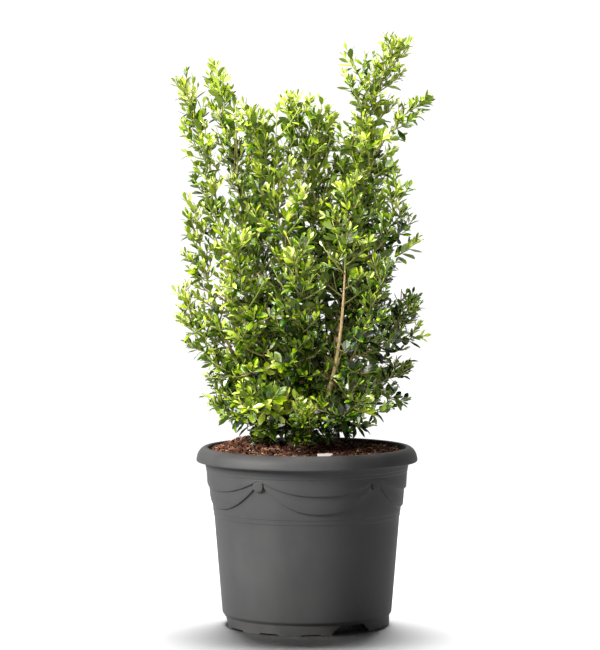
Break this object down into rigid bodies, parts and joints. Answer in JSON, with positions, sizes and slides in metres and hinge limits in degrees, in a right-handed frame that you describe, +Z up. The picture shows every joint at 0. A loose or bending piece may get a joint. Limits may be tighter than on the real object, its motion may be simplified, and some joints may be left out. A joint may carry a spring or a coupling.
{
  "type": "potted boxwood shrub",
  "caption": "Loose upright evergreen shrub with several stems and small oval leaves, in a round tapered nursery pot with a rolled rim and hung swags.",
  "frame": {"origin": "centre of the pot's flat underside, on the surface that it stands on", "axes": "+Z up, -Y the front as seen in the picture, +X to the right seen from the front"},
  "size_m": [0.3163, 0.3292, 0.7126],
  "materials": {
    "pot": "dark grey moulded plastic, fine matt grain",
    "substrate": "moist red-brown bark mulch",
    "label": "blank white plastic",
    "bark": "pale tan bark with fine fissures",
    "foliage": "leathery leaves, satin upper side, paler underside"
  },
  "bodies": {
    "root": {"foliage_back": "foliage", "foliage_back_foot": "foliage", "foliage_back_left": "foliage", "foliage_back_low_left": "foliage", "foliage_back_low_right": "foliage", "foliage_back_middle": "foliage", "foliage_back_right": "foliage", "foliage_centre": "foliage", "foliage_centre_arm": "foliage", "foliage_front": "foliage", "foliage_front_centre": "foliage", "foliage_front_foot": "foliage", "foliage_front_left": "foliage", "foliage_front_low_left": "foliage", "foliage_front_low_right": "foliage", "foliage_front_right": "foliage", "foliage_left": "foliage", "foliage_left_inner": "foliage", "foliage_left_middle": "foliage", "foliage_left_outer": "foliage", "foliage_low_left": "foliage", "foliage_low_right": "foliage", "foliage_right": "foliage", "foliage_right_arm": "foliage", "foliage_right_middle": "foliage", "foliage_right_outer": "foliage", "label": "label", "pot": "pot", "root_crown": "bark", "stem_back": "bark", "stem_back_left": "bark", "stem_back_low_left": "bark", "stem_back_low_right": "bark", "stem_back_right": "bark", "stem_centre": "bark", "stem_centre_arm": "bark", "stem_front": "bark", "stem_front_low_left": "bark", "stem_front_low_right": "bark", "stem_left": "bark", "stem_left_inner": "bark", "stem_low_left": "bark", "stem_low_right": "bark", "stem_right": "bark", "stem_right_arm": "bark", "substrate": "substrate"}
  },
  "joints": []
}
